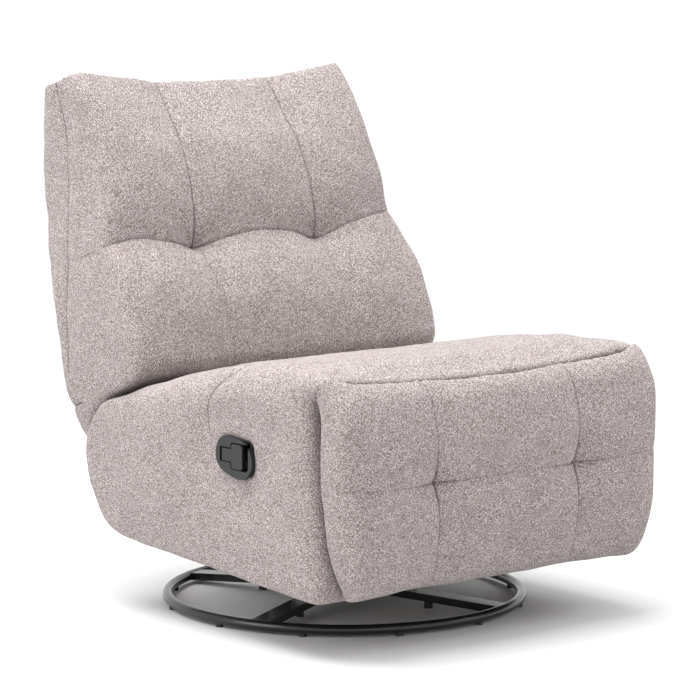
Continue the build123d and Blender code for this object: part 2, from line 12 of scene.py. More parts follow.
import bpy
import numpy as np
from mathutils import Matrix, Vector


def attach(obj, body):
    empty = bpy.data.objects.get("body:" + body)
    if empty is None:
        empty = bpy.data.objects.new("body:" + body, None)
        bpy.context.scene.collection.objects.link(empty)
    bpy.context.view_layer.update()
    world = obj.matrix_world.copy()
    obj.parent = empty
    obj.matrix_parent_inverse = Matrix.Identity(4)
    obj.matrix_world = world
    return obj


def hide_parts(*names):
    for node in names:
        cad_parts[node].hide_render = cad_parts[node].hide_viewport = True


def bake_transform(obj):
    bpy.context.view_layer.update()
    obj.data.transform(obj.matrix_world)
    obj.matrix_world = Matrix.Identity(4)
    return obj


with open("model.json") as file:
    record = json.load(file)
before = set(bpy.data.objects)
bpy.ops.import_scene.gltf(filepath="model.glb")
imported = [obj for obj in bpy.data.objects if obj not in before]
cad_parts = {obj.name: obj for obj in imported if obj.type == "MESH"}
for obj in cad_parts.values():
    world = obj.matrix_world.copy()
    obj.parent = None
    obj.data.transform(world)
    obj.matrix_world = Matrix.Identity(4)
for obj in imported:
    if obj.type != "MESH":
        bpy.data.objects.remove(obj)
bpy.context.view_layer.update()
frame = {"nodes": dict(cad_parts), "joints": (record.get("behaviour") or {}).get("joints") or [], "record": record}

nodes = frame["nodes"]

# %% [markdown]
# ## Camera, light and floor
# A product view is taken with a long lens from a little above the seat. The floor and the world are
# nearly white, and two large soft lamps give the cushions gentle shading from the upper left.

# %% Camera
scene = bpy.context.scene
camera_data = bpy.data.cameras.new("camera")
camera = bpy.data.objects.new("camera", camera_data)
scene.collection.objects.link(camera)
camera.location = (-3.7384, -4.5418, 1.2571)
aim = Vector((0.0099, -0.0189, 0.4681))
camera.rotation_euler = (aim - camera.location).to_track_quat("-Z", "Y").to_euler()
camera_data.lens = 164.6
camera_data.sensor_width = 36
scene.camera = camera
print("camera distance", round((aim - camera.location).length, 2))

# %% World, lamps and floor
world = bpy.data.worlds.new("studio")
scene.world = world
world.use_nodes = True
world.node_tree.nodes["Background"].inputs["Color"].default_value = (1, 1, 1, 1)
world.node_tree.nodes["Background"].inputs["Strength"].default_value = 1.02
scene.view_settings.view_transform = "Standard"


def lamp(name, place, size, power):
    light = bpy.data.lights.new(name, "AREA")
    light.shape = "DISK"
    light.size = size
    light.energy = power
    holder = bpy.data.objects.new(name, light)
    scene.collection.objects.link(holder)
    holder.location = place
    holder.rotation_euler = (Vector((0, 0, 0.5)) - Vector(place)).to_track_quat("-Z", "Y").to_euler()


lamp("key", (-0.6, 0.7, 4.6), 4.2, 320)
lamp("side", (-4.0, 0.4, 1.8), 2.4, 45)
lamp("fill", (3.0, -2.4, 3.4), 2.4, 45)

bpy.ops.mesh.primitive_plane_add(size=5, location=(0, 0, 0))
floor = bpy.context.object
floor.name = "floor"
floor_finish = bpy.data.materials.new("floor_paint")
floor_finish.use_nodes = True
floor_shader = floor_finish.node_tree.nodes["Principled BSDF"]
floor_shader.inputs["Base Color"].default_value = (0.68, 0.68, 0.68, 1)
floor_shader.inputs["Roughness"].default_value = 0.8
floor.data.materials.append(floor_finish)

# %% [markdown]
# ## Small tools for stuffed pieces
# A stuffed piece starts as a loft: a stack of closed loops joined side to side, with both ends closed.
# A voxel remesh then gives it even faces, which cloth simulation needs, and the seams are pulled in
# last, because remeshing would wipe out anything finer than a voxel.

# %% Loft, remesh and points in and out of numpy


def deselect():
    if bpy.context.mode != "OBJECT":
        bpy.ops.object.mode_set(mode="OBJECT")
    bpy.ops.object.select_all(action="DESELECT")


def select_only(piece):
    deselect()
    piece.select_set(True)
    bpy.context.view_layer.objects.active = piece


def lofted(name, loops):
    """A closed mesh through loops that all have the same number of points."""
    count = len(loops[0])
    points = [tuple(p) for loop in loops for p in loop]
    faces = []
    for row in range(len(loops) - 1):
        near, far = row * count, (row + 1) * count
        for i in range(count):
            j = (i + 1) % count
            faces.append((near + i, near + j, far + j, far + i))
    faces.append(tuple(reversed(range(count))))
    faces.append(tuple(range((len(loops) - 1) * count, len(loops) * count)))
    mesh = bpy.data.meshes.new(name)
    mesh.from_pydata(points, [], faces)
    piece = bpy.data.objects.new(name, mesh)
    scene.collection.objects.link(piece)
    select_only(piece)
    bpy.ops.object.mode_set(mode="EDIT")
    bpy.ops.mesh.select_all(action="SELECT")
    bpy.ops.mesh.normals_make_consistent(inside=False)
    bpy.ops.object.mode_set(mode="OBJECT")
    return piece


def apply_modifier(piece, kind, **settings):
    select_only(piece)
    modifier = piece.modifiers.new(kind.lower(), kind)
    for key, value in settings.items():
        setattr(modifier, key, value)
    bpy.ops.object.modifier_apply(modifier=modifier.name)


def remesh(piece, voxel, smoothing):
    apply_modifier(piece, "REMESH", mode="VOXEL", voxel_size=voxel, adaptivity=0)
    apply_modifier(piece, "SMOOTH", factor=0.5, iterations=smoothing)
    print(piece.name, "faces after remesh", len(piece.data.polygons))


def points_of(piece):
    flat = np.empty(len(piece.data.vertices) * 3)
    piece.data.vertices.foreach_get("co", flat)
    return flat.reshape(-1, 3)


def normals_of(piece):
    flat = np.empty(len(piece.data.vertices) * 3)
    piece.data.vertex_normals.foreach_get("vector", flat)
    return flat.reshape(-1, 3)


def set_points(piece, points):
    piece.data.vertices.foreach_set("co", points.ravel())
    piece.data.update()


def smoothstep(low, high, value):
    t = np.clip((value - low) / (high - low), 0, 1)
    return t * t * (3 - 2 * t)


def closed_curve(keys, count):
    """Evenly spaced points on a smooth closed curve through the keys (rows of numbers)."""
    steps_per_key = 24
    keys = np.array(keys, float)
    previous, following, after = np.roll(keys, 1, 0), np.roll(keys, -1, 0), np.roll(keys, -2, 0)
    t = np.linspace(0, 1, steps_per_key, endpoint=False)[:, None, None]
    curve = 0.5 * (2 * keys + (following - previous) * t
                   + (2 * previous - 5 * keys + 4 * following - after) * t ** 2
                   + (3 * keys - previous - 3 * following + after) * t ** 3)
    curve = curve.transpose(1, 0, 2).reshape(-1, keys.shape[1])
    steps = np.linalg.norm(np.roll(curve, -1, 0)[:, :2] - curve[:, :2], axis=1)
    along = np.concatenate([[0], np.cumsum(steps)])
    wanted = np.linspace(0, along[-1], count, endpoint=False)
    looped = np.vstack([curve, curve[:1]])
    return np.column_stack([np.interp(wanted, along, column) for column in looped.T])


# %% [markdown]
# ## The seat cover
# On the real chair one cover wraps the seat top and both sides without a seam between them, so the
# seat and the sides are one piece here too. Its side outline slopes down to a rear end that is round
# about the recline axis, which lets the back swing close behind it. The loops are that outline, and
# each loop near a side is pulled in by its own edge radius: wide along the top, narrow below.

# %% Seat cover: side outline
recline = next(j for j in frame["joints"] if j["name"] == "recline")
axis_y, axis_z = recline["pos_m"][1], recline["pos_m"][2]
rear_radius = 0.1190
seat_half_width = 0.377


def on_rear(angle):
    """The point of the round rear end at this many degrees above the recline axis."""
    turn = math.radians(angle)
    return (axis_y + rear_radius * math.cos(turn), axis_z + rear_radius * math.sin(turn))


# y, z and the edge radius there: the top, the round rear end, the underside, and the front
side_outline = [
    (-0.409, 0.476, 0.010), (-0.401, 0.4885, 0.012), (-0.380, 0.493, 0.022), (-0.340, 0.495, 0.036),
    (-0.243, 0.494, 0.052), (-0.118, 0.478, 0.050), (-0.009, 0.452, 0.042), (0.079, 0.430, 0.036),
    (0.159, 0.404, 0.026), (0.212, 0.387, 0.016),
    (*on_rear(52), 0.012), (*on_rear(25), 0.010), (*on_rear(0), 0.010), (*on_rear(-28), 0.010),
    (0.262, 0.197, 0.010), (0.240, 0.164, 0.010), (0.203, 0.140, 0.012), (0.145, 0.130, 0.013),
    (0.052, 0.124, 0.014), (-0.065, 0.117, 0.014), (-0.210, 0.106, 0.015), (-0.340, 0.098, 0.015),
    (-0.384, 0.097, 0.016), (-0.398, 0.113, 0.022), (-0.393, 0.200, 0.032), (-0.385, 0.300, 0.034),
    (-0.377, 0.390, 0.034), (-0.374, 0.445, 0.026), (-0.392, 0.462, 0.014),
]
outline_points = 240
outline = closed_curve(side_outline, outline_points)
tangent = np.roll(outline, -1, 0)[:, :2] - np.roll(outline, 1, 0)[:, :2]
tangent /= np.linalg.norm(tangent, axis=1)[:, None]
outward = np.column_stack([-tangent[:, 1], tangent[:, 0]])
if ((outline[:, :2] - outline[:, :2].mean(0)) * outward).sum() < 0:
    outward = -outward

# %% Seat cover: loft
edge_steps = 7


def seat_loops():
    loops = []
    turns = np.linspace(0, math.pi / 2, edge_steps)
    for side in (-1, 1):
        half = []
        for turn in turns:
            radius = outline[:, 2]
            x = seat_half_width - radius * (1 - math.sin(turn))
            inset = radius * (1 - math.cos(turn))
            yz = outline[:, :2] - outward * inset[:, None]
            half.append(np.column_stack([side * x, yz]))
        loops += half[::-1] if side < 0 else half
    return loops


seat_cover = lofted("seat_cover", seat_loops())
remesh(seat_cover, 0.006, 0)


def cut_box(piece, low, high):
    """Takes a box out of a piece with a Boolean modifier."""
    deselect()
    middle = [(a + b) / 2 for a, b in zip(low, high)]
    bpy.ops.mesh.primitive_cube_add(size=1, location=middle)
    cutter = bpy.context.object
    cutter.scale = [b - a for a, b in zip(low, high)]
    bpy.ops.object.transform_apply(location=False, rotation=False, scale=True)
    apply_modifier(piece, "BOOLEAN", operation="DIFFERENCE", object=cutter, solver="EXACT")
    bpy.data.objects.remove(cutter)


# %% Seat cover: room for the frame, the footrest's cranks and the handle's cup
cavity_half_width = 0.288
cut_box(seat_cover, (-cavity_half_width, -0.352, 0.0), (cavity_half_width, 0.105, 0.334))
slot_inner_x, slot_outer_x = 0.270, 0.296
for low_x, high_x in ((-slot_outer_x, -slot_inner_x), (slot_inner_x, slot_outer_x)):
    cut_box(seat_cover, (low_x, -0.45, 0.290), (high_x, -0.34, 0.448))
cut_box(seat_cover, (-0.45, -0.219, 0.3005), (-0.332, -0.133, 0.3595))
print("seat cover loft", len(seat_cover.data.vertices))

# %% [markdown]
# ## The footrest pad
# The front pad hangs from a seam along the seat's front edge. It is quilted in two rows of three, and
# its sides swell out past the body. Here the loops are stacked upwards, each one a rounded rectangle.

# %% Footrest pad: loft


def rounded_loop(half_width, low, high, low_radius, high_radius, per_corner=10, per_side=24, per_end=8):
    """A rounded rectangle in two axes: x from -half_width to half_width, the other from low to high."""
    corners = [(half_width - low_radius, low + low_radius, low_radius, -90),
               (half_width - high_radius, high - high_radius, high_radius, 0),
               (-half_width + high_radius, high - high_radius, high_radius, 90),
               (-half_width + low_radius, low + low_radius, low_radius, 180)]
    counts = [per_end, per_side, per_end, per_side]
    loop = []
    for k, (cx, cy, radius, first) in enumerate(corners):
        for turn in np.linspace(first, first + 90, per_corner):
            a = math.radians(turn)
            loop.append((cx + radius * math.cos(a), cy + radius * math.sin(a)))
        nx, ny, nr, nfirst = corners[(k + 1) % 4]
        a = math.radians(nfirst)
        end = np.array((nx + nr * math.cos(a), ny + nr * math.sin(a)))
        start = np.array(loop[-1])
        for t in np.linspace(0, 1, counts[k] + 2)[1:-1]:
            loop.append(tuple(start + (end - start) * t))
    return loop


def table(keys, value):
    """Smooth look-up in a short list of (place, size) pairs."""
    places, sizes = np.array(keys, float).T
    slopes = np.gradient(sizes, places)
    k = np.clip(np.searchsorted(places, value) - 1, 0, len(places) - 2)
    gap = places[k + 1] - places[k]
    t = np.clip((value - places[k]) / gap, 0, 1)
    return ((2 * t ** 3 - 3 * t ** 2 + 1) * sizes[k] + (t ** 3 - 2 * t ** 2 + t) * gap * slopes[k]
            + (3 * t ** 2 - 2 * t ** 3) * sizes[k + 1] + (t ** 3 - t ** 2) * gap * slopes[k + 1])


# Each list pairs a height with half the width, the front's y, the rear's y or the corner radius there.
pad_half_width = [(0.099, 0.326), (0.113, 0.330), (0.133, 0.339), (0.163, 0.352), (0.203, 0.362),
                  (0.253, 0.370), (0.333, 0.375), (0.393, 0.373), (0.443, 0.371), (0.470, 0.371),
                  (0.485, 0.372)]
pad_front = [(0.099, -0.424), (0.104, -0.440), (0.115, -0.455), (0.135, -0.466), (0.170, -0.475),
             (0.250, -0.482), (0.330, -0.483), (0.380, -0.480), (0.420, -0.474), (0.445, -0.467),
             (0.462, -0.458), (0.474, -0.448), (0.482, -0.437), (0.485, -0.431)]
pad_rear = [(0.099, -0.405), (0.200, -0.402), (0.300, -0.399), (0.390, -0.397), (0.445, -0.395),
            (0.462, -0.399), (0.474, -0.409), (0.481, -0.418), (0.485, -0.425)]
pad_corner = [(0.099, 0.008), (0.120, 0.014), (0.180, 0.030), (0.230, 0.036), (0.400, 0.036),
              (0.450, 0.024), (0.485, 0.004)]
pad_loops = []
pad_heights = np.concatenate([np.linspace(0.099, 0.12, 6), np.linspace(0.13, 0.44, 26),
                              np.linspace(0.448, 0.485, 10)])
for z in pad_heights:
    half_width, front, rear = table(pad_half_width, z), table(pad_front, z), table(pad_rear, z)
    corner = min(table(pad_corner, z), (rear - front) * 0.7)
    loop = rounded_loop(half_width, front, rear, corner, min(0.007, (rear - front) * 0.25))
    pad_loops.append([(x, y, z) for x, y in loop])
footrest_pad = lofted("footrest_cushion", pad_loops)
print("footrest pad loft", len(footrest_pad.data.vertices))

# %% [markdown]
# ## The back cushion
# The back leans twenty degrees, so it is easier to shape in its own axes: `u` runs up the back from the
# recline axis and `n` points forwards out of it. Below, it is hollowed to a curve about that axis, so
# that it swings over the rear of the seat. At the top its corners stand up like ears.

# %% Back: its own axes and loft
lean = math.radians(20)
up_the_back = np.array([0, math.sin(lean), math.cos(lean)])
out_of_back = np.array([0, -math.cos(lean), math.sin(lean)])
recline_axis = np.array([0, axis_y, axis_z])


def from_back(x, u, n):
    return np.array([x, 0, 0]) + recline_axis + up_the_back * u + out_of_back * n


def to_back(points):
    rel = points - recline_axis
    return rel[:, 0], rel @ up_the_back, rel @ out_of_back


# Each list pairs a place up the back with half the width, or with the face's or the rear's n there.
back_width = [(0.062, 0.346), (0.100, 0.354), (0.150, 0.363), (0.250, 0.364), (0.335, 0.357),
              (0.420, 0.345), (0.495, 0.333), (0.622, 0.324), (0.700, 0.323), (0.732, 0.320)]
back_face = [(0.062, -0.120), (0.085, -0.097), (0.104, -0.074), (0.117, -0.045), (0.123, -0.010),
             (0.126, 0.030), (0.128, 0.060), (0.133, 0.081), (0.144, 0.095), (0.180, 0.104),
             (0.235, 0.107), (0.300, 0.101), (0.345, 0.090), (0.375, 0.082), (0.420, 0.084),
             (0.500, 0.087), (0.580, 0.080), (0.650, 0.067), (0.700, 0.053), (0.732, 0.041)]
back_rear = [(0.062, -0.131), (0.070, -0.137), (0.100, -0.148), (0.139, -0.150), (0.177, -0.147),
             (0.244, -0.139), (0.338, -0.137), (0.405, -0.141), (0.500, -0.135), (0.579, -0.127),
             (0.648, -0.104), (0.700, -0.078), (0.732, -0.062)]
back_loops = []
back_heights = np.concatenate([np.linspace(0.062, 0.16, 22), np.linspace(0.17, 0.70, 40),
                               np.linspace(0.712, 0.732, 4)])
for u in back_heights:
    half_width, face, rear = table(back_width, u), table(back_face, u), table(back_rear, u)
    depth = face - rear
    loop = rounded_loop(half_width, rear, face, min(0.010, depth * 0.4), min(0.022, depth * 0.4))
    back_loops.append([tuple(from_back(x, u, n)) for x, n in loop])
back_cushion = lofted("back_cover", back_loops)
print("back loft", len(back_cushion.data.vertices))

# %% [markdown]
# ## Filling the covers
# Wadding swells a cover between the places where it is sewn. A cloth simulation with a little inside
# pressure gives that swelling, with the edges and hems held still. Gravity is off, and
# no point may travel further than a cap, so the pieces keep their size.

# %% Cloth simulation


filling_pressure = 3.0
cloth_frames = 20


def hold_points(piece, hold):
    """Writes how firmly each point is held, from 0 to 1, as weights in eight steps."""
    weight_steps = 8
    group = piece.vertex_groups.new(name="held")
    steps = np.round(np.clip(hold, 0, 1) * weight_steps).astype(int)
    for step in range(1, weight_steps + 1):
        group.add(np.nonzero(steps == step)[0].tolist(), step / weight_steps, "REPLACE")


def swell(piece, hold, cap):
    """Fills a piece by cloth simulation, with no point moving further than the cap."""
    before = points_of(piece).copy()
    hold_points(piece, hold)
    select_only(piece)
    cloth = piece.modifiers.new("cloth", "CLOTH")
    cloth.settings.quality = 4
    cloth.settings.mass = 0.3
    cloth.settings.tension_stiffness = 8
    cloth.settings.compression_stiffness = 8
    cloth.settings.shear_stiffness = 3
    cloth.settings.bending_stiffness = 0.3
    cloth.settings.use_pressure = True
    cloth.settings.uniform_pressure_force = filling_pressure
    cloth.settings.vertex_group_mass = "held"
    cloth.settings.effector_weights.gravity = 0
    cloth.collision_settings.use_collision = False
    cloth.point_cache.frame_start = 1
    cloth.point_cache.frame_end = cloth_frames
    for frame_number in range(1, cloth_frames + 1):
        scene.frame_set(frame_number)
    bpy.ops.object.modifier_apply(modifier=cloth.name)
    piece.vertex_groups.clear()
    scene.frame_set(1)
    move = points_of(piece) - before
    length = np.linalg.norm(move, axis=1)
    move *= np.minimum(1, cap / np.maximum(length, 1e-9))[:, None]
    set_points(piece, before + move)
    print(piece.name, "swelled by up to", round(float(min(cap, length.max())) * 1000, 1), "mm")


# %% Seams: nearness, pulling in and painted seam shade


def dense(keys, count=160):
    """Many points along a smooth open line through a few."""
    keys = np.array(keys, float)
    t = np.concatenate([[0], np.cumsum(np.linalg.norm(np.diff(keys, axis=0), axis=1))])
    wanted = np.linspace(0, t[-1], count)
    return np.column_stack([[table(list(zip(t, column)), v) for v in wanted] for column in keys.T])


def nearness(points, line):
    """Distance from every point to a dense line, and how far along the line that is, from 0 to 1."""
    best = np.full(len(points), 1e9)
    along = np.zeros(len(points))
    for k, p in enumerate(line):
        d = np.linalg.norm(points - p, axis=1)
        closer = d < best
        best[closer] = d[closer]
        along[closer] = k / (len(line) - 1)
    return best, along


def refine_near(piece, distance_of, width, cuts=2):
    """Splits the faces near a seam, so that the seam is crisp."""
    centres = np.empty(len(piece.data.polygons) * 3)
    piece.data.polygons.foreach_get("center", centres)
    near = distance_of(centres.reshape(-1, 3)) < width
    select_only(piece)
    bpy.ops.object.mode_set(mode="EDIT")
    bpy.ops.mesh.select_mode(type="FACE")
    bpy.ops.mesh.select_all(action="DESELECT")
    bpy.ops.object.mode_set(mode="OBJECT")
    piece.data.polygons.foreach_set("select", near)
    bpy.ops.object.mode_set(mode="EDIT")
    bpy.ops.mesh.subdivide(number_cuts=cuts, smoothness=0)
    bpy.ops.object.mode_set(mode="OBJECT")


def store(piece, name, values):
    layer = piece.data.attributes.get(name) or piece.data.attributes.new(name, "FLOAT", "POINT")
    layer.data.foreach_set("value", np.asarray(values, np.float32))


def shade_smooth(piece):
    select_only(piece)
    bpy.ops.object.shade_smooth()


def wave(points, size, seed):
    """A gentle, repeatable unevenness, mostly between -1 and 1."""
    wave_count, usual_sum = 7, 3.2
    rng = np.random.default_rng(seed)
    total = np.zeros(len(points))
    for _ in range(wave_count):
        direction = rng.normal(size=3)
        direction /= np.linalg.norm(direction)
        pitch = rng.uniform(0.6, 1.5)
        shift = rng.uniform(0, 6.28)
        total += np.sin(points @ direction * (2 * math.pi / size) * pitch + shift)
    return total / usual_sum


# %% [markdown]
# ## Finishing the seat cover
# After the simulation the seat gets its crown, which is highest in the middle. Along the front the cover
# is drawn down to the seam that the footrest pad hangs from, with small puckers where the thread pulls.
# Each side has one seam, which fades out before it reaches the handle.

# %% Seat cover: remesh and swell
remesh(seat_cover, 0.0072, 4)
p = points_of(seat_cover)
inside = (np.abs(p[:, 0]) < 0.296) & (p[:, 2] < 0.345)
handle_reach = np.hypot((p[:, 1] + 0.176) / 0.062, (p[:, 2] - 0.330) / 0.048)
near_handle = (p[:, 0] < -0.3) * smoothstep(2.2, 1.2, handle_reach)
held = np.maximum.reduce([inside * 1.0, smoothstep(0.17, 0.12, p[:, 2]) * 0.9, near_handle,
                          smoothstep(-0.345, -0.385, p[:, 1]) * 0.9,
                          smoothstep(0.16, 0.24, p[:, 1]) * 0.8])
swell(seat_cover, held, cap=0.007)

# %% Seat cover: crown and sides
seam_sag = 0.017


def seam_drop(x):
    """How far the front seam hangs below its two ends."""
    return seam_sag * (1 - np.clip(np.abs(x) / 0.365, 0, 1) ** 2)


p = points_of(seat_cover)
across = np.clip(np.abs(p[:, 0]) / 0.372, 0, 1)
top_z = np.interp(p[:, 1], [-0.40, -0.34, -0.243, -0.118, -0.009, 0.079, 0.159, 0.24],
                  [0.487, 0.495, 0.494, 0.478, 0.452, 0.430, 0.404, 0.372])
on_top = smoothstep(0.075, 0.030, top_z - p[:, 2])
crown = 0.002 * (1 - across ** 2.4) * smoothstep(-0.40, -0.28, p[:, 1]) * smoothstep(0.25, 0.14, p[:, 1])
p[:, 2] += on_top * (crown - seam_drop(p[:, 0]) * smoothstep(-0.335, -0.395, p[:, 1]))
side_bulge = 0.005 * np.sin(np.clip((p[:, 2] - 0.11) / 0.36, 0, 1) * math.pi)
away_from_handle = 1 - (p[:, 0] < -0.3) * smoothstep(2.4, 1.3, handle_reach)
ahead_of_rear = smoothstep(0.25, 0.15, p[:, 1])
p[:, 0] += np.sign(p[:, 0]) * side_bulge * (np.abs(p[:, 0]) > 0.33) * away_from_handle * ahead_of_rear
set_points(seat_cover, p)
apply_modifier(seat_cover, "SUBSURF", levels=1, render_levels=1)

# %% The front seam, which the seat cover and the pad share
seam_x = np.linspace(-0.364, 0.364, 150)
drop = seam_drop(seam_x)
front_seam = np.column_stack([seam_x, -0.412 - 0.2 * (drop - seam_sag), 0.4775 - drop])


def pucker_front_seam(piece, p):
    """Draws the seam in, gathers the cloth beside it and returns each point's share of painted shade along the
    seam crease.
    """
    distance = nearness(p, front_seam)[0]
    x = p[:, 0]
    long_gathers = np.sin(x * 2 * math.pi / 0.031 + 1.3 * np.sin(x * 37))
    gathers = long_gathers + 0.7 * np.sin(x * 2 * math.pi / 0.019 + 2)
    ends = smoothstep(0.372, 0.350, np.abs(x))
    p[:, 2] += 0.0011 * gathers * np.exp(-(distance / 0.016) ** 2) * ends
    p -= normals_of(piece) * (0.0030 * np.exp(-(distance / 0.006) ** 2) * ends)[:, None]
    return np.exp(-(distance / 0.0032) ** 2) * smoothstep(0.375, 0.36, np.abs(x))


def from_front_seam(points):
    return nearness(points, front_seam)[0]


# %% Seat cover: side seams
side_seam = dense([(-0.150, 0.505), (-0.133, 0.473), (-0.108, 0.440), (-0.096, 0.412), (-0.094, 0.376),
                   (-0.102, 0.347), (-0.106, 0.300)])


def from_side_seam(points):
    distance = nearness(points[:, 1:], side_seam)[0]
    return np.minimum(np.where(np.abs(points[:, 0]) > 0.30, distance, 1.0), from_front_seam(points))


refine_near(seat_cover, from_side_seam, 0.008)
p = points_of(seat_cover)
distance, along = nearness(p[:, 1:], side_seam)
distance = np.where(np.abs(p[:, 0]) > 0.31, distance, 1.0)
strength = smoothstep(1.0, 0.5, along) * smoothstep(0.0, 0.15, along)
valley = 0.0036 * np.exp(-(distance / 0.024) ** 2)
crease = 0.0020 * np.exp(-(distance / 0.0026) ** 2)
p -= normals_of(seat_cover) * (strength * (valley + crease))[:, None]
unevenness = 0.0012 * wave(p, 0.10, seed=3) * smoothstep(0.11, 0.2, p[:, 2])
p += normals_of(seat_cover) * unevenness[:, None]
# painted shade along the front and side seam creases, stored on the cover for the cloth shader
seam_shade_line = pucker_front_seam(seat_cover, p)
set_points(seat_cover, p)
side_seam_shade = strength * 0.8 * np.exp(-(distance / 0.0018) ** 2)
store(seat_cover, "painted_seam_shade", np.maximum(seam_shade_line, side_seam_shade))
shade_smooth(seat_cover)
print("seat cover faces", len(seat_cover.data.polygons))

# %% [markdown]
# ## Finishing the footrest pad
# Two upright seams and one level seam cross at two buttons. A seam has a wide soft valley, where the
# wadding thins, and a narrow crease at the stitches, with painted shade along it. At a button the cover
# gathers in small folds, and away from the buttons the crease is shallower and its painted shade fainter.

# %% Footrest pad: swell
remesh(footrest_pad, 0.0062, 3)
p = points_of(footrest_pad)
held = np.maximum.reduce([smoothstep(-0.43, -0.41, p[:, 1]), smoothstep(0.44, 0.475, p[:, 2]),
                          smoothstep(0.135, 0.11, p[:, 2]),
                          smoothstep(0.30, 0.36, np.abs(p[:, 0])) * 0.8])
swell(footrest_pad, held, cap=0.006)

# %% Footrest pad: lower edge, linkage channels and ears
p = points_of(footrest_pad)
across = np.clip(np.abs(p[:, 0]) / 0.35, 0, 1)
p[:, 2] += 0.008 * (1 - across ** 6) * smoothstep(0.15, 0.105, p[:, 2])
channel_y = -0.4125
channel_width = (np.abs(p[:, 0]) > 0.262) & (np.abs(p[:, 0]) < 0.302)
p[channel_width & (p[:, 1] > channel_y) & (p[:, 2] > 0.25), 1] = channel_y
ears = smoothstep(0.315, 0.368, np.abs(p[:, 0])) * smoothstep(0.42, 0.475, p[:, 2])
p[:, 1] += 0.022 * ears
p[:, 2] += 0.006 * ears
p[:, 2] -= seam_drop(p[:, 0]) * smoothstep(0.36, 0.46, p[:, 2])
set_points(footrest_pad, p)
apply_modifier(footrest_pad, "SUBSURF", levels=1, render_levels=1)

# %% Quilting: seams and buttons
crease_width = 0.0034
# the second width is how wide the painted shade line along a seam crease is
seam_shade_width = 0.0019


def quilt(piece, plane_points, facing, inward, seams, buttons, seed):
    """Pulls seams and buttons in along one direction.

    A seam is (line, wide depth, reach below, reach above, crease, faint, strong): the last two say how
    deep its crease is and how dark its painted crease shade is, away from the buttons and beside them.
    A button is (place, depth, reach). Returns the painted seam shade.
    """
    p = points_of(piece)
    flat = plane_points(p)
    side = facing(piece, p)
    pull = np.zeros(len(p))
    painted_seam_shade = np.zeros(len(p))
    to_buttons = [np.linalg.norm(flat - np.array(button), axis=1) for button, *_ in buttons]
    to_button = np.min(to_buttons, axis=0)
    beside = np.exp(-(to_button / 0.055) ** 2)
    for line, wide, reach_low, reach_high, crease, faint, strong in seams:
        distance = nearness(flat, line)[0]
        runs_across = np.ptp(line[:, 0]) > 0.3
        level = np.interp(flat[:, 0], line[:, 0], line[:, 1]) if runs_across else flat[:, 1] - 1
        reach = np.where(flat[:, 1] > level, reach_high, reach_low)
        plain = faint + (strong - faint) * beside
        pull = np.maximum(pull, wide * np.exp(-(distance / reach) ** 1.3) * (0.72 + 0.28 * beside))
        pull += crease * plain * np.exp(-(distance / crease_width) ** 2)
        # painted shade along each seam crease, darker beside the buttons
        painted_seam_shade = np.maximum(painted_seam_shade, plain * np.exp(-(distance / seam_shade_width) ** 2))
    for k, (button, depth, reach) in enumerate(buttons):
        rel = flat - np.array(button)
        r = np.linalg.norm(rel, axis=1)
        angle = np.arctan2(rel[:, 1], rel[:, 0])
        pull += depth * np.exp(-(r / reach) ** 1.1)
        folds = np.cos(7 * angle + seed + k) + 0.6 * np.cos(11 * angle + 2 * k)
        pull += 0.0016 * folds * np.exp(-(r / (reach * 1.2)) ** 1.5) * smoothstep(0.004, 0.02, r)
    p += inward * (pull * side)[:, None]
    p += normals_of(piece) * (0.0011 * wave(p, 0.08, seed))[:, None]
    set_points(piece, p)
    return painted_seam_shade * (side > 0.3)


# %% Footrest pad: quilting
pad_seam_x, pad_seam_z = 0.166, 0.298
pad_lines = [(dense([(x, 0.49), (x * 1.01, 0.40), (x, pad_seam_z), (x * 0.99, 0.2), (x * 0.98, 0.09)]),
              0.014, 0.055, 0.055, 0.003, 0.5, 1.0) for x in (-pad_seam_x, pad_seam_x)]
pad_lines.append((dense([(-0.395, 0.306), (-0.28, 0.300), (-pad_seam_x, pad_seam_z), (0, 0.301),
                         (pad_seam_x, pad_seam_z), (0.28, 0.301), (0.395, 0.306)]),
                  0.013, 0.048, 0.048, 0.004, 0.40, 1.0))
pad_buttons = [((x, pad_seam_z), 0.015, 0.026) for x in (-pad_seam_x, pad_seam_x)]


def pad_plane(points):
    return points[:, [0, 2]]


def from_pad_seams(points):
    nearest = np.min([nearness(pad_plane(points), line)[0] for line, *_ in pad_lines], axis=0)
    return np.minimum(np.where(points[:, 1] < -0.41, nearest, 1.0), from_front_seam(points))


def pad_facing(piece, points):
    normal = normals_of(piece)
    forward = smoothstep(-0.1, 0.5, -normal[:, 1] + 0.5 * np.abs(normal[:, 2]))
    return smoothstep(-0.404, -0.43, points[:, 1]) * forward


refine_near(footrest_pad, from_pad_seams, 0.008)
seam_shade_line = quilt(footrest_pad, pad_plane, pad_facing, np.array([0, 1, 0]), pad_lines, pad_buttons, seed=5)
p = points_of(footrest_pad)
seam_shade_line = np.maximum(seam_shade_line, pucker_front_seam(footrest_pad, p))
set_points(footrest_pad, p)
# painted shade along the pad's quilting creases and its front seam
store(footrest_pad, "painted_seam_shade", seam_shade_line)
shade_smooth(footrest_pad)
print("footrest pad faces", len(footrest_pad.data.polygons))

# %% [markdown]
# ## Finishing the back
# The back is quilted too, with its level seam arching up from button to button. The lower puffs are the
# fuller ones, so they stand out below that seam. The top edge dips between its two corners, and a long
# seam down each side joins the front cushion to the rear. Across the rear, near the bottom, another seam
# starts the skirt that hides the gap above the seat.

# %% Back: swell
remesh(back_cushion, 0.0068, 3)
p = points_of(back_cushion)
x, u, n = to_back(p)
held = np.maximum.reduce([smoothstep(0.165, 0.145, u), smoothstep(0.68, 0.715, u),
                          smoothstep(-0.06, -0.12, n) * 0.8,
                          smoothstep(0.30, 0.335, np.abs(x)) * 0.6])
swell(back_cushion, held, cap=0.007)

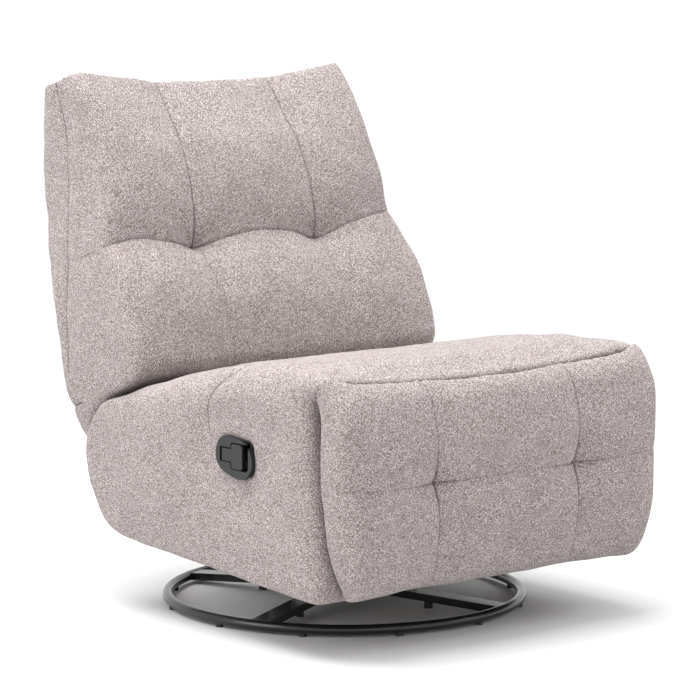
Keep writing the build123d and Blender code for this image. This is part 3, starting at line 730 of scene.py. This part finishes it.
# %% Back: dip of the top edge and fuller sides
p = points_of(back_cushion)
x, u, n = to_back(p)
across = np.clip(np.abs(x) / 0.318, 0, 1)
dip = 0.028 * (1 - across ** 2.2) * smoothstep(0.52, 0.72, u)
p -= up_the_back * dip[:, None]
side_fullness = 0.008 * smoothstep(0.27, 0.32, np.abs(x)) * np.exp(-((n + 0.03) / 0.05) ** 2)
p[:, 0] += np.sign(x) * side_fullness * smoothstep(0.3, 0.5, u)
set_points(back_cushion, p)
apply_modifier(back_cushion, "SUBSURF", levels=1, render_levels=1)

# %% Back: quilting
back_button_x, back_button_u = 0.147, 0.375
back_lines = []
for s in (-1, 1):
    button = (s * back_button_x, back_button_u)
    above = dense([button, (s * 0.143, 0.47), (s * 0.139, 0.56), (s * 0.131, 0.73)])
    below = dense([(s * 0.135, 0.10), (s * 0.142, 0.25), button])
    back_lines.append((above, 0.017, 0.050, 0.050, 0.004, 0.62, 1.0))
    back_lines.append((below, 0.012, 0.050, 0.050, 0.003, 0.30, 0.55))
back_lines.append((dense([(-0.365, 0.387), (-0.335, 0.391), (-0.292, 0.396), (-0.211, 0.386),
                          (-back_button_x, back_button_u), (-0.071, 0.387), (0.002, 0.395),
                          (0.087, 0.388), (back_button_x, back_button_u), (0.224, 0.395),
                          (0.288, 0.408), (0.365, 0.418)]),
                   0.024, 0.030, 0.062, 0.004, 0.65, 1.0))
back_buttons = [((x, back_button_u), 0.018, 0.030) for x in (-back_button_x, back_button_x)]


def back_plane(points):
    x, u, _ = to_back(points)
    return np.column_stack([x, u])


# The seams that aren't on the face: down each side, along the rear of the top, and above the skirt.
boxing_seam = dense([(0.728, -0.020), (0.635, -0.018), (0.580, -0.028), (0.471, -0.056), (0.389, -0.074),
                     (0.325, -0.092), (0.233, -0.114), (0.195, -0.122)])
skirt_u = 0.132
rear_columns = (-0.165, 0.165)


def from_plain_seams(points):
    """Distance to the nearest side, skirt or rear seam."""
    x, u, n = to_back(points)
    side = np.where(np.abs(x) > 0.305, nearness(np.column_stack([u, n]), boxing_seam)[0], 1.0)
    skirt = np.where(n < -0.10, np.abs(u - skirt_u), 1.0)
    rear = np.where((n < -0.04) & (u > skirt_u) & (np.abs(x) < 0.3),
                    np.min([np.abs(x - column) for column in rear_columns], axis=0), 1.0)
    return np.minimum.reduce([side, skirt, rear])


def from_back_seams(points):
    nearest = np.min([nearness(back_plane(points), line)[0] for line, *_ in back_lines], axis=0)
    return np.minimum(np.where(to_back(points)[2] > -0.05, nearest, 1.0), from_plain_seams(points))


def back_facing(piece, points):
    forward = smoothstep(-0.1, 0.5, normals_of(piece) @ out_of_back + 0.5)
    return smoothstep(-0.06, 0.0, to_back(points)[2]) * forward


refine_near(back_cushion, from_back_seams, 0.007)
seam_shade_line = quilt(back_cushion, back_plane, back_facing, -out_of_back, back_lines, back_buttons, seed=8)
p = points_of(back_cushion)
distance = from_plain_seams(p)
valley = 0.0034 * np.exp(-(distance / 0.018) ** 2)
crease = 0.0022 * np.exp(-(distance / 0.0028) ** 2)
p -= normals_of(back_cushion) * (valley + crease)[:, None]
set_points(back_cushion, p)
# painted shade along the quilting creases and the side, skirt and rear seams
store(back_cushion, "painted_seam_shade", np.maximum(seam_shade_line, 0.7 * np.exp(-(distance / 0.0018) ** 2)))
shade_smooth(back_cushion)
print("back faces", len(back_cushion.data.polygons))

# %% [markdown]
# ## The upholstery cloth
# The cover is a nubby weave of pale and taupe yarns. Voronoi cells about two millimetres across stand for
# the nubs: their distance gives the bump and painted shade in the gaps between them, and their random
# colour gives the mixed yarns. A slow noise makes the cloth a little uneven, and painted shade darkens the seam
# creases.

# %% Cloth material


def new_material(name):
    material = bpy.data.materials.new(name)
    material.use_nodes = True
    tree = material.node_tree
    return material, tree, tree.nodes["Principled BSDF"]


def add(tree, kind, **inputs):
    node = tree.nodes.new(kind)
    for key, value in inputs.items():
        node.inputs[key.replace("_", " ")].default_value = value
    return node


def ramp(tree, source, stops):
    node = tree.nodes.new("ShaderNodeValToRGB")
    while len(node.color_ramp.elements) < len(stops):
        node.color_ramp.elements.new(0.5)
    for element, (place, colour) in zip(node.color_ramp.elements, stops):
        element.position = place
        element.color = (*colour, 1)
    tree.links.new(source, node.inputs["Fac"])
    return node.outputs["Color"]


def mix_colour(tree, blend, factor, first, second):
    """Mixes two colours. The Mix node has sockets for every kind of data, so they are found by type."""
    node = tree.nodes.new("ShaderNodeMix")
    node.data_type = "RGBA"
    node.blend_type = blend
    colours = [s for s in node.inputs if s.type == "RGBA"]
    factors = [s for s in node.inputs if s.name == "Factor" and s.type == "VALUE"]
    for socket, value in ((factors[0], factor), (colours[0], first), (colours[1], second)):
        if isinstance(value, bpy.types.NodeSocket):
            tree.links.new(value, socket)
        else:
            socket.default_value = value
    return [s for s in node.outputs if s.type == "RGBA"][0]


def cloth_material():
    material, tree, shader = new_material("nubby_cloth")
    place = tree.nodes.new("ShaderNodeTexCoord").outputs["Object"]
    stretch = add(tree, "ShaderNodeMapping", Scale=(1.0, 1.0, 1.45))
    tree.links.new(place, stretch.inputs["Vector"])
    nubs = add(tree, "ShaderNodeTexVoronoi", Scale=450, Randomness=1.0)
    tree.links.new(stretch.outputs["Vector"], nubs.inputs["Vector"])
    nubs_grey = tree.nodes.new("ShaderNodeRGBToBW")
    tree.links.new(nubs.outputs["Color"], nubs_grey.inputs["Color"])
    yarns = ramp(tree, nubs_grey.outputs["Val"],
                 [(0.18, (0.345, 0.300, 0.294)), (0.42, (0.458, 0.408, 0.401)),
                  (0.62, (0.545, 0.493, 0.486)), (0.85, (0.680, 0.634, 0.626))])
    slow = add(tree, "ShaderNodeTexNoise", Scale=22, Detail=3)
    tree.links.new(place, slow.inputs["Vector"])
    patches = ramp(tree, slow.outputs["Fac"], [(0.3, (0.93, 0.93, 0.93)), (0.7, (1.03, 1.03, 1.03))])
    colour = mix_colour(tree, "MULTIPLY", 1.0, yarns, patches)
    # painted shade in the gaps between the nubs, with the nub tops a little lighter, keyed to the bump's distance
    nub_gap_shade = ramp(tree, nubs.outputs["Distance"], [(0.26, (1.1, 1.1, 1.1)), (0.60, (0.36, 0.32, 0.31))])
    colour = mix_colour(tree, "MULTIPLY", 0.9, colour, nub_gap_shade)
    # the stored seam value is painted shade: it darkens the cloth along the seam creases
    painted_seam_shade = tree.nodes.new("ShaderNodeAttribute")
    painted_seam_shade.attribute_name = "painted_seam_shade"
    seam_shade_line = ramp(tree, painted_seam_shade.outputs["Fac"], [(0.12, (1, 1, 1)), (0.9, (0.30, 0.27, 0.27))])
    colour = mix_colour(tree, "MULTIPLY", 1.0, colour, seam_shade_line)
    tree.links.new(colour, shader.inputs["Base Color"])
    shader.inputs["Roughness"].default_value = 0.92
    shader.inputs["Specular IOR Level"].default_value = 0.12
    shader.inputs["Sheen Weight"].default_value = 0.12
    shader.inputs["Sheen Roughness"].default_value = 0.5
    height = tree.nodes.new("ShaderNodeMath")
    height.operation = "MULTIPLY"
    height.inputs[1].default_value = -1
    tree.links.new(nubs.outputs["Distance"], height.inputs[0])
    bump = add(tree, "ShaderNodeBump", Strength=0.7, Distance=0.0018)
    tree.links.new(height.outputs["Value"], bump.inputs["Height"])
    tree.links.new(bump.outputs["Normal"], shader.inputs["Normal"])
    return material


cloth = cloth_material()
for piece in (seat_cover, footrest_pad, back_cushion):
    piece.data.materials.clear()
    piece.data.materials.append(cloth)
print("cloth shader nodes", len(cloth.node_tree.nodes))

# %% [markdown]
# ## The hard finishes
# Paint, zinc, plastic, plywood and webbing differ in colour, shine and grain, so one recipe serves them
# all: a fine noise varies the tone and the roughness a little and raises a faint bump. Each finish goes
# to the frame's nodes by their material slot.

# %% Hard finishes


def grained_finish(name, colour, metallic, roughness, grain, coat=0.0):
    material, tree, shader = new_material(name)
    shader.inputs["Metallic"].default_value = metallic
    shader.inputs["Coat Weight"].default_value = coat
    place = tree.nodes.new("ShaderNodeTexCoord").outputs["Object"]
    noise = add(tree, "ShaderNodeTexNoise", Scale=grain, Detail=4)
    tree.links.new(place, noise.inputs["Vector"])
    dark = tuple(c * 0.8 for c in colour)
    tone = ramp(tree, noise.outputs["Fac"], [(0.35, dark), (0.65, colour)])
    tree.links.new(tone, shader.inputs["Base Color"])
    rough = ramp(tree, noise.outputs["Fac"],
                 [(0.3, (roughness * 0.85,) * 3), (0.7, (roughness * 1.2,) * 3)])
    tree.links.new(rough, shader.inputs["Roughness"])
    bump = add(tree, "ShaderNodeBump", Strength=0.12, Distance=0.0004)
    tree.links.new(noise.outputs["Fac"], bump.inputs["Height"])
    tree.links.new(bump.outputs["Normal"], shader.inputs["Normal"])
    return material


finishes = {
    "black_steel": grained_finish("gloss_black_steel", (0.008, 0.008, 0.009), 0.0, 0.22, 160, coat=0.1),
    "frame_steel": grained_finish("satin_black_steel", (0.035, 0.035, 0.037), 0.2, 0.45, 220),
    "zinc_hardware": grained_finish("zinc_plate", (0.62, 0.61, 0.58), 1.0, 0.32, 400),
    "spring_steel": grained_finish("oiled_spring_steel", (0.30, 0.30, 0.31), 1.0, 0.35, 500),
    "glide_plastic": grained_finish("glide_plastic", (0.020, 0.020, 0.021), 0.0, 0.55, 700),
    "handle_plastic": grained_finish("grained_handle_plastic", (0.007, 0.007, 0.008), 0.0, 0.42, 1500),
    "plywood": grained_finish("birch_ply", (0.60, 0.45, 0.28), 0.0, 0.65, 60),
    "webbing": grained_finish("black_webbing", (0.06, 0.06, 0.06), 0.0, 0.85, 900),
}
for part in frame["record"]["subparts"]:
    if part["material_slot"] in finishes:
        node = nodes[part["node"]]
        node.data.materials.clear()
        node.data.materials.append(finishes[part["material_slot"]])
print("hard finishes", len(finishes))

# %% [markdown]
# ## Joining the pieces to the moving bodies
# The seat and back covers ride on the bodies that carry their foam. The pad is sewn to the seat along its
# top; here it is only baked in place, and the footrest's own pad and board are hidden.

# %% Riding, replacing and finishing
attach(seat_cover, "seat")
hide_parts("seat_foam", "side_pad_left", "side_pad_right", "rear_panel")
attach(back_cushion, "back")
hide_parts("back_cushion", "back_rear_pad", "back_skirt")
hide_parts("footrest_pad", "footrest_board")
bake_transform(footrest_pad)
